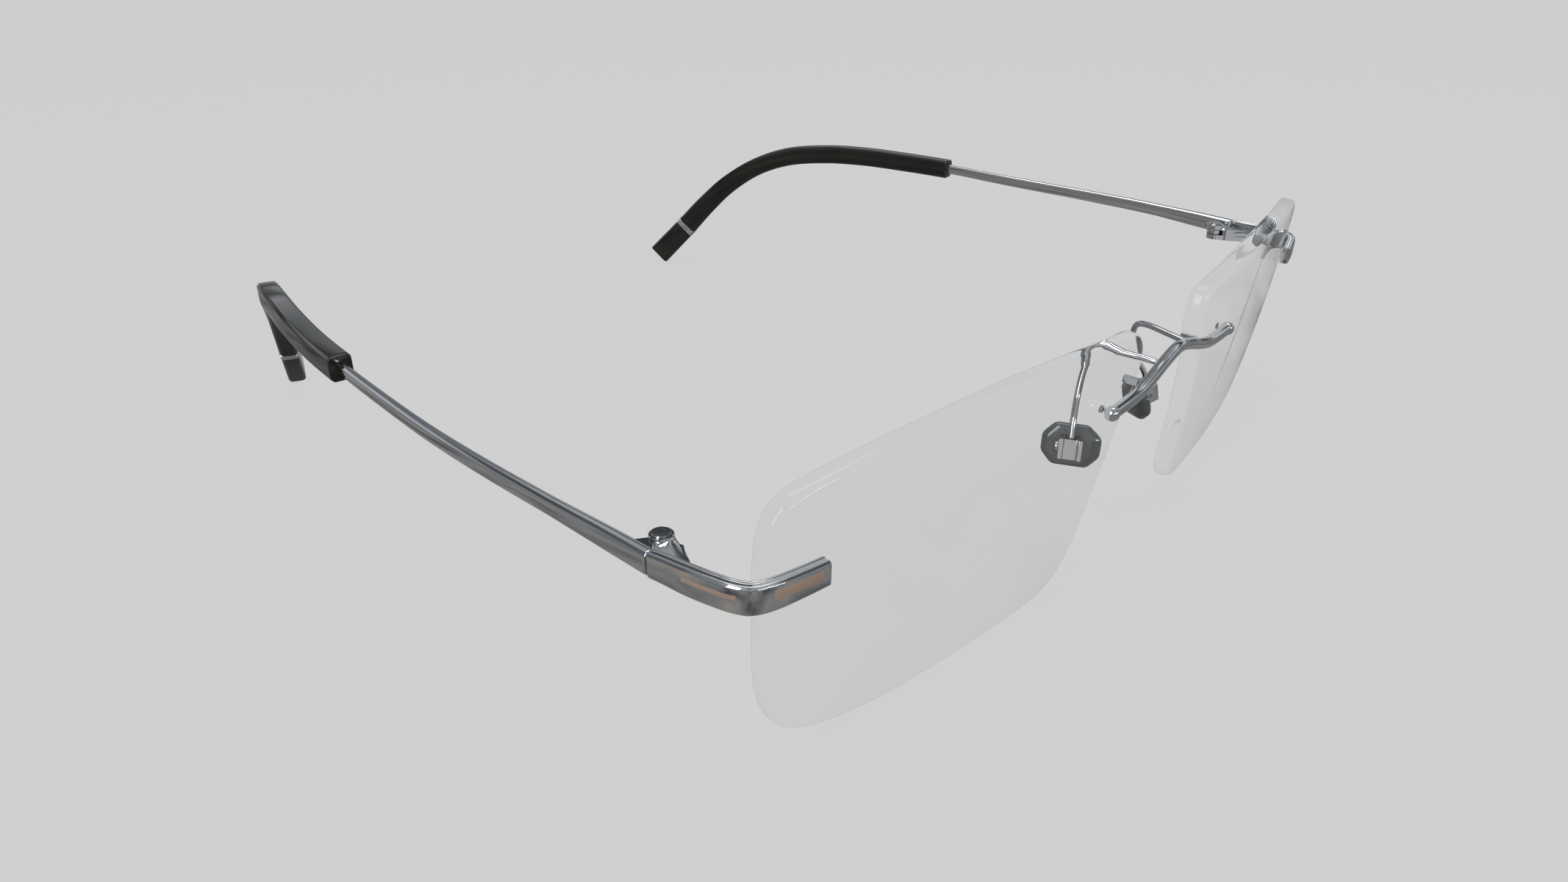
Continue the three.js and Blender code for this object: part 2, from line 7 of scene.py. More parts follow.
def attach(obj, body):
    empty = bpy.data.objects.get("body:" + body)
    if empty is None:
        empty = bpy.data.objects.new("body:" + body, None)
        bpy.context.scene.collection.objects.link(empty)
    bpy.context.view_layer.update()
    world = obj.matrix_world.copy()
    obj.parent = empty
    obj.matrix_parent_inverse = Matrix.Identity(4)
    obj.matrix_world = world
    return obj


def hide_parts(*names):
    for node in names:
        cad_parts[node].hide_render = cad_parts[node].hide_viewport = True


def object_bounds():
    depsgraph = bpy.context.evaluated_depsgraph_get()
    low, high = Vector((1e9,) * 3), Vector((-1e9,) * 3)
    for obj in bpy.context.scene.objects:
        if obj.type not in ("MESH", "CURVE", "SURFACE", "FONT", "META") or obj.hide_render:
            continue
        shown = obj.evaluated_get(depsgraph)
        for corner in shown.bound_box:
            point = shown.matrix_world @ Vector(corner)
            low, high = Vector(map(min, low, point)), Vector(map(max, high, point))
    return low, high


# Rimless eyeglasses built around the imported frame. Shapes are laid out in millimetres in the
# hinge frame of the CAD part: origin midway between the hinges, 0.2 mm nearer the wearer than
# their axes and level with the tops of their barrels, +X to the wearer's left, +Y towards the
# wearer, +Z up. in_row() carries them to the row frame.

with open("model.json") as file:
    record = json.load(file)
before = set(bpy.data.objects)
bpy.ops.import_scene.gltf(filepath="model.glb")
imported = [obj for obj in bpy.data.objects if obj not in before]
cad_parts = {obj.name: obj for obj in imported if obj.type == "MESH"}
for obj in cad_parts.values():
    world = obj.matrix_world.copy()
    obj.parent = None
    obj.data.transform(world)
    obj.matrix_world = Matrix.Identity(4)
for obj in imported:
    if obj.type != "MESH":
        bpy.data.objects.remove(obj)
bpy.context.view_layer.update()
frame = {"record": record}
record = frame["record"]

SIDES = (("left", 1), ("right", -1))
MM = 0.001


# ---------------------------------------------------------------- dimensions, in millimetres
HINGE = Vector((68.2, -0.2, -1.3))  # middle of the left hinge, in the hinge frame

LENS_CENTRE = (38.5, -17.45, -8.0)
LENS_WRAP = math.radians(7.6)
LENS_TILT = math.radians(5.35)
LENS_BASE_RADIUS = 280.0
LENS_THICKNESS = 2.3
LENS_HOLLOW = 0.0003
LENS_EDGE_RADIUS = 0.9
LENS_EDGE_POINTS = 300
LENS_FACE_RINGS = [0.08, 0.2, 0.34, 0.48, 0.62, 0.74, 0.85, 0.94, 1.0]  # shares of the outline
LENS_OUTLINE = [
    (-28.3, 15.9), (-29.4, 14.6), (-29.8, 12.3), (-29.5, 10.3), (-28.7, 8.4), (-26.9, 4.0),
    (-25.7, -0.9), (-24.5, -5.9), (-23.2, -11.9), (-22.2, -14.3), (-20.6, -16.3), (-18.3, -17.5),
    (-15.5, -17.9), (-12.0, -17.9), (-6.0, -17.75), (3.0, -17.7), (11.7, -17.4), (19.4, -16.3),
    (23.6, -14.8), (25.7, -13.0), (27.0, -10.8), (27.9, -8.0), (28.5, -4.5), (29.0, 2.0),
    (29.2, 8.0), (29.0, 11.2), (28.3, 13.4), (26.9, 14.9), (25.0, 15.7), (21.3, 16.4),
    (14.0, 17.3), (2.6, 17.95), (-4.6, 18.0), (-14.0, 17.5), (-22.5, 16.6), (-26.5, 16.3),
]

POST_PLACES = {"bridge": (-21.4, 8.8), "endpiece": (25.0, 6.9)}  # across and up the lens
POST_RADIUS = 0.35
POST_DEPTH = 0.3
POST_RIM = 0.05
BUSH_RADIUS = 0.54
BUSH_FACE_RING = 0.37  # a ring of points in its flat faces, just outside the post
BUSH_DEPTH = 0.28
BUSH_PROUD = 0.04

BRIDGE_RADIUS = 0.77
BRIDGE_Y = -21.4
BRIDGE_HALF = [(17.4, 0.8), (13.6, 0.8), (10.4, 1.0), (6.8, 1.9), (3.4, 2.95)]
BRIDGE_CROWN_Z = 3.6
BALL_RADIUS = 0.92

PAD_ARM_RADIUS = 0.4
PAD_ARM_PATH = [
    (4.3, -20.58, 2.75), (4.8, -18.2, 2.95), (5.7, -14.6, 3.05), (6.3, -13.25, 2.5),
    (6.9, -12.6, 0.8), (8.2, -12.7, -2.6), (10.4, -13.6, -5.4), (11.35, -14.1, -7.35),
]
PAD_CENTRE = (9.2, -13.1, -9.4)
PAD_SPLAY = math.radians(25)
PAD_FLARE = math.radians(15)
PAD_HALF_LENGTH = 3.6
PAD_HALF_HEIGHT = 2.8
PAD_HALF_THICKNESS = 0.95
PAD_FLAT_LENGTH = 0.58  # share of the length that is straight at the top and bottom
PAD_FLAT_HEIGHT = 0.42  # share of the height that is straight at the ends
PAD_CORNER = 0.55
PAD_PROFILE = [  # scale of the outline, and place across the thickness
    (0.18, -0.99), (0.45, -0.95), (0.68, -0.84), (0.84, -0.65), (0.94, -0.38), (0.99, -0.1),
    (1.0, 0.1), (0.98, 0.34), (0.93, 0.58), (0.83, 0.76), (0.66, 0.87), (0.4, 0.91), (0.16, 0.92),
]
PAD_AXIS_OFFSET = 2.1
PAD_LUG_RADIUS = 0.85
PAD_LUG_THICKNESS = 1.1
PAD_NECK_START = 0.4
PAD_NECK_HEIGHT = 1.3

SPLIT_Y = -1.95
SPLIT_GAP = 0.12
ENDPIECE_PATH = [
    (61.3, -14.85, -1.05), (64.2, -14.3, -1.05), (67.4, -13.5, -1.05), (69.1, -12.6, -1.05),
    (69.9, -11.2, -1.0), (70.35, -9.3, -1.0), (70.8, -6.4, -1.0), (71.05, -3.6, -1.0),
    (71.2, SPLIT_Y - SPLIT_GAP / 2, -1.05),
]
ENDPIECE_HEIGHT = [(0, 2.85), (0.35, 3.15), (0.75, 3.15), (1, 2.8)]
ENDPIECE_WIDTH = 1.4
ENDPIECE_CHAMFER = 0.24
ENDPIECE_CROWN = 0.05
GROOVE_HALF_WIDTH = 0.3
GROOVE_DEPTH = 0.12
INLAY_DEPTH = 0.25
INLAY_PROUD = 0.05
BARREL_RADIUS = 1.25
KNUCKLE_HEIGHT = 0.82
KNUCKLE_GAP = 0.06
TURNED_RIM = 0.08  # bevel at the ends of the knuckles and of the pads' lugs

TEMPLE_PATH = [
    (71.2, SPLIT_Y + SPLIT_GAP / 2, -1.05), (71.35, 5, -0.8), (71.5, 14, -0.55), (71.4, 24, -0.52),
    (70.9, 35, -0.5), (70.0, 46, -0.35), (68.9, 57.5, -0.05), (67.6, 67, 0), (65.6, 77, 0),
    (63.2, 86, -0.5), (60.3, 95, -2.0), (57.4, 102, -4.9), (54.5, 108.3, -9.5),
    (52.2, 113.2, -14.6), (49.9, 118.0, -20.4), (46.75, 124.5, -28.0),
]
TEMPLE_CHAMFER = 0.35
TEMPLE_IN_SLEEVE = 3.0  # how far the bar goes on inside the sleeve
BAR_CROWN = 0.035
SLEEVE_START_Y = 57.5
SLEEVE_WIDTH = 3.0
SLEEVE_CHAMFER = 0.42
RING_WIDTH = 1.3
RING_GROWTH = 0.16  # how much wider and higher the ring is than the sleeve
RING_GAP = 0.05
END_LENGTH = 9.8

CREASE = 32  # degrees at which an edge is shaded sharp
CREASES = {"lens": 60, "pad_arm": 25, "nose_pad": 40}  # the pieces that need another angle


# ---------------------------------------------------------------- frame
def fold_joint(name):
    return next(j for j in record["behaviour"]["joints"] if j["name"] == name)


hinge_joint = fold_joint("temple_left_fold")
axis = Vector(hinge_joint["axis"])
FLOOR_TILT = Matrix.Rotation(math.atan2(-axis.y, axis.z), 4, "X")
SHIFT = Vector(hinge_joint["pos_m"]) - FLOOR_TILT @ (HINGE * MM)
SHIFT.x = 0


def in_row(point, mirror=1):
    """A point of the hinge frame, in millimetres, as a point of the row frame, in metres."""
    x, y, z = point
    return SHIFT + FLOOR_TILT @ (Vector((x * mirror, y, z)) * MM)


# ---------------------------------------------------------------- curves and meshes
SPLINE_STEPS = 24
CROWN_STEPS = 6


def spline(points, closed=False):
    """Points along the centripetal Catmull-Rom curve through the given ones."""
    pts = [Vector(p) for p in points]
    n = len(pts)
    made = []
    spans = n if closed else n - 1
    for i in range(spans):
        p1, p2 = pts[i], pts[(i + 1) % n]
        p0 = pts[i - 1] if closed or i else p1 * 2 - p2
        after = (i + 2) % n if closed else i + 2
        p3 = pts[after] if closed or after < n else p2 * 2 - p1
        d0, d1, d2 = [(b - a).length ** 0.5 for a, b in ((p0, p1), (p1, p2), (p2, p3))]
        t1 = ((p1 - p0) / d0 - (p2 - p0) / (d0 + d1) + (p2 - p1) / d1) * d1
        t2 = ((p2 - p1) / d1 - (p3 - p1) / (d1 + d2) + (p3 - p2) / d2) * d1
        for k in range(SPLINE_STEPS):
            s = k / SPLINE_STEPS
            a = p1 * (2 * s**3 - 3 * s**2 + 1) + t1 * (s**3 - 2 * s**2 + s)
            b = p2 * (-2 * s**3 + 3 * s**2) + t2 * (s**3 - s**2)
            made.append(a + b)
    if not closed:
        made.append(pts[-1].copy())
    return made


class Path:
    """A curve that gives the point and direction at a fraction of its length."""

    def __init__(self, points):
        self.points = spline(points)
        self.lengths = [0.0]
        for a, b in zip(self.points, self.points[1:]):
            self.lengths.append(self.lengths[-1] + (b - a).length)
        self.length = self.lengths[-1]

    def at(self, t):
        want = min(max(t, 0.0), 1.0) * self.length
        low, high = 0, len(self.lengths) - 1
        while high - low > 1:
            middle = (low + high) // 2
            if self.lengths[middle] <= want:
                low = middle
            else:
                high = middle
        span = self.lengths[high] - self.lengths[low]
        return self.points[low].lerp(self.points[high], (want - self.lengths[low]) / span)

    def along(self, t):
        """The direction at t, taken over a short stretch on both sides of it."""
        step = 2 / len(self.points)
        return (self.at(min(t + step, 1)) - self.at(max(t - step, 0))).normalized()


def even_ring(points, count):
    """Points at even spacing along a closed outline."""
    lengths = [0.0]
    for a, b in zip(points, points[1:] + points[:1]):
        lengths.append(lengths[-1] + (b - a).length)
    ring, k = [], 0
    for i in range(count):
        want = lengths[-1] * i / count
        while lengths[k + 1] < want:
            k += 1
        share = (want - lengths[k]) / (lengths[k + 1] - lengths[k])
        ring.append(points[k].lerp(points[(k + 1) % len(points)], share))
    return ring


def between(table, x):
    """The value at x of a table of (position, value) rows, going straight between them."""
    if x <= table[0][0]:
        return table[0][1]
    for (x0, v0), (x1, v1) in zip(table, table[1:]):
        if x <= x1:
            return v0 + (v1 - v0) * (x - x0) / (x1 - x0)
    return table[-1][1]


def filleted(corners, radius, steps=4):
    """A closed outline of straight sides with small round corners."""
    n = len(corners)
    made = []
    for i, corner in enumerate(corners):
        here = Vector(corner)
        to_before = (Vector(corners[i - 1]) - here).normalized()
        to_after = (Vector(corners[(i + 1) % n]) - here).normalized()
        start, end = here + to_before * radius, here + to_after * radius
        for k in range(steps + 1):
            s = k / steps
            made.append(start * (1 - s) ** 2 + here * 2 * s * (1 - s) + end * s**2)
    return made


def crowned(start, end, rise):
    """Points from start to end on a shallow arc that bulges outwards by rise."""
    a, b = Vector(start), Vector(end)
    outwards = Vector((b.y - a.y, a.x - b.x)).normalized()
    made = []
    for k in range(CROWN_STEPS + 1):
        s = k / CROWN_STEPS
        made.append(a.lerp(b, s) + outwards * rise * 4 * s * (1 - s))
    return made


def crowned_outline(corners, fillet, rise, bulging):
    """An outline with small round corners, where the sides after the listed corners bulge."""
    rounded = filleted(corners, fillet)
    n = len(rounded) // len(corners)
    ring = []
    for i in range(len(corners)):
        ring += rounded[i * n : (i + 1) * n]
        if i in bulging:
            follows = rounded[(i + 1) * n % len(rounded)]
            ring += crowned(ring[-1], follows, rise)[1:-1]
    return ring


def bar_section(width, height, chamfer, fillet):
    """A chamfered bar whose four flat faces bulge slightly."""
    w, h, c = width / 2, height / 2, chamfer
    corners = [
        (w, -h + c), (w, h - c), (w - c, h), (-w + c, h),
        (-w, h - c), (-w, -h + c), (-w + c, -h), (w - c, -h),
    ]
    return crowned_outline(corners, fillet, BAR_CROWN, bulging=(0, 2, 4, 6))


def round_section(radius, sides):
    turns = [(i + 0.5) / sides * 2 * math.pi for i in range(sides)]
    return [Vector((radius * math.cos(a), radius * math.sin(a))) for a in turns]


def rimmed(radius, low, high, rim):
    """The (radius, height) rows of a cylinder with a bevel at both ends."""
    return [(radius - rim, low), (radius, low + rim), (radius, high - rim), (radius - rim, high)]


def eased_end(distance, path_length):
    """Rows of (share of the path in from a cut end, growth in mm) that round the end off."""
    if not distance:
        return [(0, 0)]
    rows = [(0, -distance)]
    for share in (0.15, 0.5, 1.0):
        shrink = distance * (1 - math.sqrt(1 - (1 - share) ** 2))
        rows.append((distance / path_length * share, -shrink))
    return rows


class Mesh:
    """Closed bodies collected as vertices and faces, in millimetres."""

    def __init__(self):
        self.points = []
        self.faces = []

    def skin(self, rings, pole_start=None, pole_end=None):
        """Rings of equal size joined one after the other, closed at both ends."""
        base, n = len(self.points), len(rings[0])
        first_face = len(self.faces)
        for ring in rings:
            self.points += [Vector(p) for p in ring]
        for r in range(len(rings) - 1):
            a, b = base + r * n, base + (r + 1) * n
            for i in range(n):
                j = (i + 1) % n
                self.faces.append((a + i, a + j, b + j, b + i))
        ends = ((pole_start, base, False), (pole_end, base + (len(rings) - 1) * n, True))
        for pole, first, forward in ends:
            ring = [first + i for i in range(n)]
            if pole is None:
                self.faces.append(tuple(ring if forward else reversed(ring)))
                continue
            self.points.append(Vector(pole))
            tip = len(self.points) - 1
            for i in range(n):
                a, b = ring[i], ring[(i + 1) % n]
                self.faces.append((a, b, tip) if forward else (b, a, tip))
        self.face_outwards(first_face)
        return self

    def face_outwards(self, first_face):
        """Turns round a body whose faces, from first_face on, point inwards."""
        volume = 0
        for face in self.faces[first_face:]:
            corners = [self.points[i] for i in face]
            for b, c in zip(corners[1:], corners[2:]):
                volume += corners[0].dot(b.cross(c))
        if volume < 0:
            self.faces[first_face:] = [tuple(reversed(f)) for f in self.faces[first_face:]]

    def sweep(self, path, steps, section_at, start=0.0, end=1.0, up=(0, 0, 1), round_ends=0.0):
        """A section drawn along a stretch of a path. round_ends eases the cut ends, in mm."""
        rings = []
        stations = [start + (end - start) * i / steps for i in range(steps + 1)]
        clear = round_ends / path.length * 1.3
        eased = eased_end(round_ends, path.length)
        grown = [(start + inwards, grow) for inwards, grow in eased]
        grown += [(t, 0) for t in stations if start + clear < t < end - clear]
        grown += [(end - inwards, grow) for inwards, grow in reversed(eased)]
        for t, grow in grown:
            at, along = path.at(t), path.along(t)
            side = Vector(up).cross(along).normalized()
            top = along.cross(side)
            ring = []
            for s, u in section_at(t):
                reach = math.hypot(s, u)
                scale = 1 + grow / reach if reach else 1
                ring.append(at + side * s * scale + top * u * scale)
            rings.append(ring)
        return self.skin(rings)

    def turned(self, profile, place, sides=48):
        """A round body from (radius, height) rows, whose axis is local Z of place."""
        rings = []
        for radius, height in profile:
            ring = []
            for i in range(sides):
                a = i / sides * 2 * math.pi
                ring.append(place @ Vector((radius * math.cos(a), radius * math.sin(a), height)))
            rings.append(ring)
        return self.skin(rings)

    def plate(self, outline, bottom, top, fillet=0.12):
        """A flat plate with a rounded outline in plan and eased upper and lower rims."""
        flat = [Vector((x, y, 0)) for x, y in filleted(outline, fillet)]
        middle = sum(flat, Vector()) / len(flat)
        rings = []
        rim = 0.06
        for shrink, z in ((rim, bottom), (0, bottom + rim), (0, top - rim), (rim, top)):
            ring = []
            for p in flat:
                towards = (middle - p).normalized()
                ring.append(Vector((p.x, p.y, z)) + towards * shrink)
            rings.append(ring)
        return self.skin(rings)

    def joined(self, other):
        offset = len(self.points)
        self.points += other.points
        self.faces += [tuple(i + offset for i in face) for face in other.faces]
        return self

    def moved(self, place):
        self.points = [place @ p for p in self.points]
        return self


def piece(name, mesh, material, mirror=1, crease=CREASE):
    """A Blender object from a mesh in the hinge frame, smooth but for its sharp corners."""
    data = bpy.data.meshes.new(name)
    faces = mesh.faces if mirror > 0 else [tuple(reversed(f)) for f in mesh.faces]
    data.from_pydata([in_row(p, mirror) for p in mesh.points], [], faces)
    data.validate()
    data.shade_smooth()
    data.set_sharp_from_angle(angle=math.radians(crease))
    obj = bpy.data.objects.new(name, data)
    bpy.context.scene.collection.objects.link(obj)
    data.materials.append(material)
    return obj


def finished(obj, body, node):
    """Parents a piece to the body it rides on and hides the CAD node it stands for."""
    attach(obj, body)
    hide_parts(node)


# ---------------------------------------------------------------- materials
PLASTIC_IOR = 1.49
PLASTIC_COAT_ROUGHNESS = 0.04
GLASS_COAT_ROUGHNESS = 0.02
METAL_RELIEF = 0.012


def new_material(name):
    material = bpy.data.materials.new(name)
    material.use_nodes = True
    tree = material.node_tree
    shader = tree.nodes["Principled BSDF"]
    return material, tree, shader


def noise(tree, scale, detail, space="Object"):
    place = tree.nodes.new("ShaderNodeTexCoord")
    made = tree.nodes.new("ShaderNodeTexNoise")
    made.inputs["Scale"].default_value = scale
    made.inputs["Detail"].default_value = detail
    tree.links.new(place.outputs[space], made.inputs["Vector"])
    return made.outputs["Fac"]


def ramp(tree, source, stops):
    """Colours, or greys given as one number, along a source that goes from 0 to 1."""
    made = tree.nodes.new("ShaderNodeValToRGB")
    elements = made.color_ramp.elements
    while len(elements) < len(stops):
        elements.new(0.5)
    for element, (position, value) in zip(elements, stops):
        element.position = position
        colour = value if isinstance(value, tuple) else (value, value, value)
        element.color = (*colour, 1)
    tree.links.new(source, made.inputs["Fac"])
    return made.outputs["Color"]


def multiplied(tree, first, second):
    made = tree.nodes.new("ShaderNodeMixRGB")
    made.blend_type = "MULTIPLY"
    made.inputs["Fac"].default_value = 1
    tree.links.new(first, made.inputs["Color1"])
    tree.links.new(second, made.inputs["Color2"])
    return made.outputs["Color"]


def bump(tree, shader, source, strength, distance):
    made = tree.nodes.new("ShaderNodeBump")
    made.inputs["Strength"].default_value = strength
    made.inputs["Distance"].default_value = distance
    tree.links.new(source, made.inputs["Height"])
    tree.links.new(made.outputs["Normal"], shader.inputs["Normal"])


def metal(name, dark, light, smooth, rough):
    """Polished metal: slow colour drift, fine polishing marks in its roughness and relief."""
    material, tree, shader = new_material(name)
    shader.inputs["Metallic"].default_value = 1.0
    tone = ramp(tree, noise(tree, 90, 4), [(0.3, dark), (0.7, light)])
    tree.links.new(tone, shader.inputs["Base Color"])
    marks = noise(tree, 1400, 5)
    sheen = ramp(tree, marks, [(0.35, smooth), (0.75, rough)])
    tree.links.new(sheen, shader.inputs["Roughness"])
    bump(tree, shader, marks, METAL_RELIEF, 0.00002)
    return material


def plastic(name, dark, light, smooth, rough, relief=0.08, coat=0.0):
    """Moulded plastic: faint mottling, a slightly uneven gloss and a soft surface ripple."""
    material, tree, shader = new_material(name)
    shader.inputs["IOR"].default_value = PLASTIC_IOR
    shader.inputs["Coat Weight"].default_value = coat
    shader.inputs["Coat Roughness"].default_value = PLASTIC_COAT_ROUGHNESS
    tone = ramp(tree, noise(tree, 160, 4), [(0.3, dark), (0.7, light)])
    tree.links.new(tone, shader.inputs["Base Color"])
    sheen = ramp(tree, noise(tree, 500, 4), [(0.35, smooth), (0.7, rough)])
    tree.links.new(sheen, shader.inputs["Roughness"])
    bump(tree, shader, noise(tree, 260, 2), relief, 0.00004)
    return material


def coat_outside(tree, shader, coat):
    """A coat on the outer side of the surface only; on both sides it darkens a second lens."""
    side = tree.nodes.new("ShaderNodeNewGeometry")
    outer = tree.nodes.new("ShaderNodeMath")
    outer.operation = "MULTIPLY_ADD"
    outer.inputs[1].default_value = -coat
    outer.inputs[2].default_value = coat
    tree.links.new(side.outputs["Backfacing"], outer.inputs[0])
    tree.links.new(outer.outputs["Value"], shader.inputs["Coat Weight"])
    shader.inputs["Coat Roughness"].default_value = GLASS_COAT_ROUGHNESS


def glass(name, dark, light, ior, smooth, rough, coat=0.0):
    """Clear moulding: a barely uneven tint and polish, with painted shade where the surface turns
    away.
    """
    material, tree, shader = new_material(name)
    shader.inputs["Transmission Weight"].default_value = 1.0
    shader.inputs["IOR"].default_value = ior
    if coat:
        coat_outside(tree, shader, coat)
    tone = ramp(tree, noise(tree, 60, 3), [(0.3, dark), (0.7, light)])
    # Painted shade: the colour darkens towards grazing view angles, standing in for the dark rims
    # that refraction gives at the glass's edges.
    facing = tree.nodes.new("ShaderNodeLayerWeight")
    facing.inputs["Blend"].default_value = 0.5
    painted_edge_shade = ramp(tree, facing.outputs["Facing"], [(0.86, 1.0), (0.96, 0.92), (1.0, 0.42)])
    tree.links.new(multiplied(tree, tone, painted_edge_shade), shader.inputs["Base Color"])
    polish = ramp(tree, noise(tree, 300, 3), [(0.3, smooth), (0.8, rough)])
    tree.links.new(polish, shader.inputs["Roughness"])
    return material


CHROME = metal("polished_chrome", (0.52, 0.53, 0.55), (0.62, 0.63, 0.65), 0.04, 0.11)
WIRE = metal("polished_wire", (0.58, 0.60, 0.62), (0.68, 0.69, 0.71), 0.03, 0.09)
STEEL = metal("turned_steel", (0.30, 0.31, 0.32), (0.40, 0.41, 0.42), 0.16, 0.30)
SILVER = metal("bright_band", (0.66, 0.67, 0.69), (0.76, 0.77, 0.78), 0.08, 0.18)
BRONZE = plastic("warm_enamel", (0.34, 0.235, 0.175), (0.45, 0.32, 0.245), 0.22, 0.36)
SLEEVE = plastic(
    "black_acetate", (0.005, 0.005, 0.004), (0.012, 0.011, 0.009), 0.05, 0.12, relief=0.03, coat=0.2
)
PAD = plastic("grey_pad", (0.075, 0.082, 0.087), (0.11, 0.117, 0.122), 0.10, 0.24, coat=0.5)
LENS = glass(
    "lens_glass", (0.935, 0.942, 0.945), (0.955, 0.96, 0.962), 1.015, 0.0, 0.004, coat=0.36
)
BUSH = glass("clear_bush", (0.90, 0.91, 0.92), (0.95, 0.96, 0.96), 1.2, 0.02, 0.10)


# ---------------------------------------------------------------- lens
def lens_place():
    turn = Matrix.Rotation(LENS_WRAP, 4, "Z") @ Matrix.Rotation(LENS_TILT, 4, "X")
    return Matrix.Translation(LENS_CENTRE) @ turn


def inset(outline, distance):
    """The outline of the lens moved inwards."""
    n = len(outline)
    made = []
    for i, p in enumerate(outline):
        before, after = outline[i - 1], outline[(i + 1) % n]
        inward = Vector((-(after.z - before.z), 0, after.x - before.x)).normalized()
        made.append(p + inward * distance)
    return made


def lens_front(p):
    return (p.x**2 + p.z**2) / (2 * LENS_BASE_RADIUS)


def lens_back(p):
    return lens_front(p) + LENS_THICKNESS + LENS_HOLLOW * (p.x**2 + p.z**2)


def lens_mesh():
    curve = spline([(x, 0, z) for x, z in LENS_OUTLINE], closed=True)
    outline = even_ring(curve, LENS_EDGE_POINTS)
    r = LENS_EDGE_RADIUS
    flat = inset(outline, r)

    def front(ring, depth):
        return [Vector((p.x, lens_front(p) + depth, p.z)) for p in ring]

    def back(ring, depth):
        return [Vector((p.x, lens_back(p) - depth, p.z)) for p in ring]

    turns = [math.radians(a) for a in range(10, 100, 10)]
    rings = [front([p * s for p in flat], 0) for s in LENS_FACE_RINGS]
    for a in turns:
        rings.append(front(inset(outline, r - r * math.sin(a)), r - r * math.cos(a)))
    for a in reversed(turns):
        rings.append(back(inset(outline, r - r * math.sin(a)), r - r * math.cos(a)))
    rings += [back([p * s for p in flat], 0) for s in reversed(LENS_FACE_RINGS)]
    made = Mesh().skin(rings, pole_start=(0, 0, 0), pole_end=(0, LENS_THICKNESS, 0))
    return made.moved(lens_place())


def turned_in_lens(end, rows):
    """A round body from rows of (radius, depth behind the front of the lens)."""
    x, z = POST_PLACES[end]
    front = lens_front(Vector((x, 0, z)))
    profile = [(radius, front + depth) for radius, depth in rows]
    place = Matrix.Translation((x, 0, z)) @ Matrix.Rotation(-math.pi / 2, 4, "X")
    return Mesh().turned(profile, place, 32).moved(lens_place())


def post_mesh(end):
    return turned_in_lens(end, rimmed(POST_RADIUS, -POST_RIM, POST_DEPTH, POST_RIM))


def bush_mesh(end):
    """A solid disc round the post, a little proud of the lens."""
    rows = [
        (BUSH_FACE_RING, -BUSH_PROUD), (BUSH_RADIUS - BUSH_PROUD, -BUSH_PROUD), (BUSH_RADIUS, 0),
        (BUSH_RADIUS, BUSH_DEPTH), (BUSH_FACE_RING, BUSH_DEPTH),
    ]
    return turned_in_lens(end, rows)


# ---------------------------------------------------------------- bridge and pads
def bridge_mesh():
    half = [(x, BRIDGE_Y, z) for x, z in BRIDGE_HALF]
    points = [(-x, y, z) for x, y, z in half] + [(0, BRIDGE_Y, BRIDGE_CROWN_Z)]
    points += list(reversed(half))
    made = Mesh().sweep(Path(points), 160, lambda t: round_section(BRIDGE_RADIUS, 32))
    profile = []
    steps = 16
    for k in range(1, steps):
        a = math.pi * k / steps
        profile.append((BALL_RADIUS * math.sin(a), -BALL_RADIUS * math.cos(a)))
    for side in (-1, 1):
        place = Matrix.Translation((side * BRIDGE_HALF[0][0], BRIDGE_Y, BRIDGE_HALF[0][1]))
        made.turned(profile, place @ Matrix.Rotation(math.pi / 2, 4, "Y"), 32)
    return made


def block_mesh(width, depth, height, centre):
    w, d = width / 2, depth / 2
    x, y, z = centre
    outline = [(x - w, y - d), (x + w, y - d), (x + w, y + d), (x - w, y + d)]
    return Mesh().plate(outline, z - height / 2, z + height / 2)


def bridge_tab_mesh():
    """The block at the lens's edge that keeps it from turning on its post."""
    return block_mesh(0.6, 2.15, 0.9, (8.8, -19.43, 1.5))


def pad_place():
    turn = Matrix.Rotation(-PAD_SPLAY, 4, "Z") @ Matrix.Rotation(-PAD_FLARE, 4, "Y")
    return Matrix.Translation(PAD_CENTRE) @ turn


def pad_ring(scale, across):
    """The pad's eight-sided outline at one scale, set across its thickness."""
    far, near = PAD_HALF_LENGTH * scale, PAD_HALF_LENGTH * PAD_FLAT_LENGTH * scale
    high, low = PAD_HALF_HEIGHT * scale, PAD_HALF_HEIGHT * PAD_FLAT_HEIGHT * scale
    corners = [
        (far, -low), (far, low), (near, high), (-near, high),
        (-far, low), (-far, -low), (-near, -high), (near, -high),
    ]
    outline = filleted(corners, PAD_CORNER * scale, 6)
    return [Vector((across * PAD_HALF_THICKNESS, y, z)) for y, z in outline]


def pad_mesh():
    """The pad, the round lug that its screw goes through, and the neck between them."""
    made = Mesh().skin([pad_ring(scale, across) for scale, across in PAD_PROFILE])
    half = PAD_LUG_THICKNESS / 2
    profile = rimmed(PAD_LUG_RADIUS, -half, half, TURNED_RIM)
    along = Matrix.Translation((PAD_AXIS_OFFSET, 0, 0)) @ Matrix.Rotation(math.pi / 2, 4, "X")
    made.turned(profile, along, 32)
    length = PAD_AXIS_OFFSET - PAD_NECK_START
    middle = (PAD_AXIS_OFFSET + PAD_NECK_START) / 2
    made.joined(block_mesh(length, PAD_LUG_THICKNESS, PAD_NECK_HEIGHT, (middle, 0, 0)))
    return made.moved(pad_place())


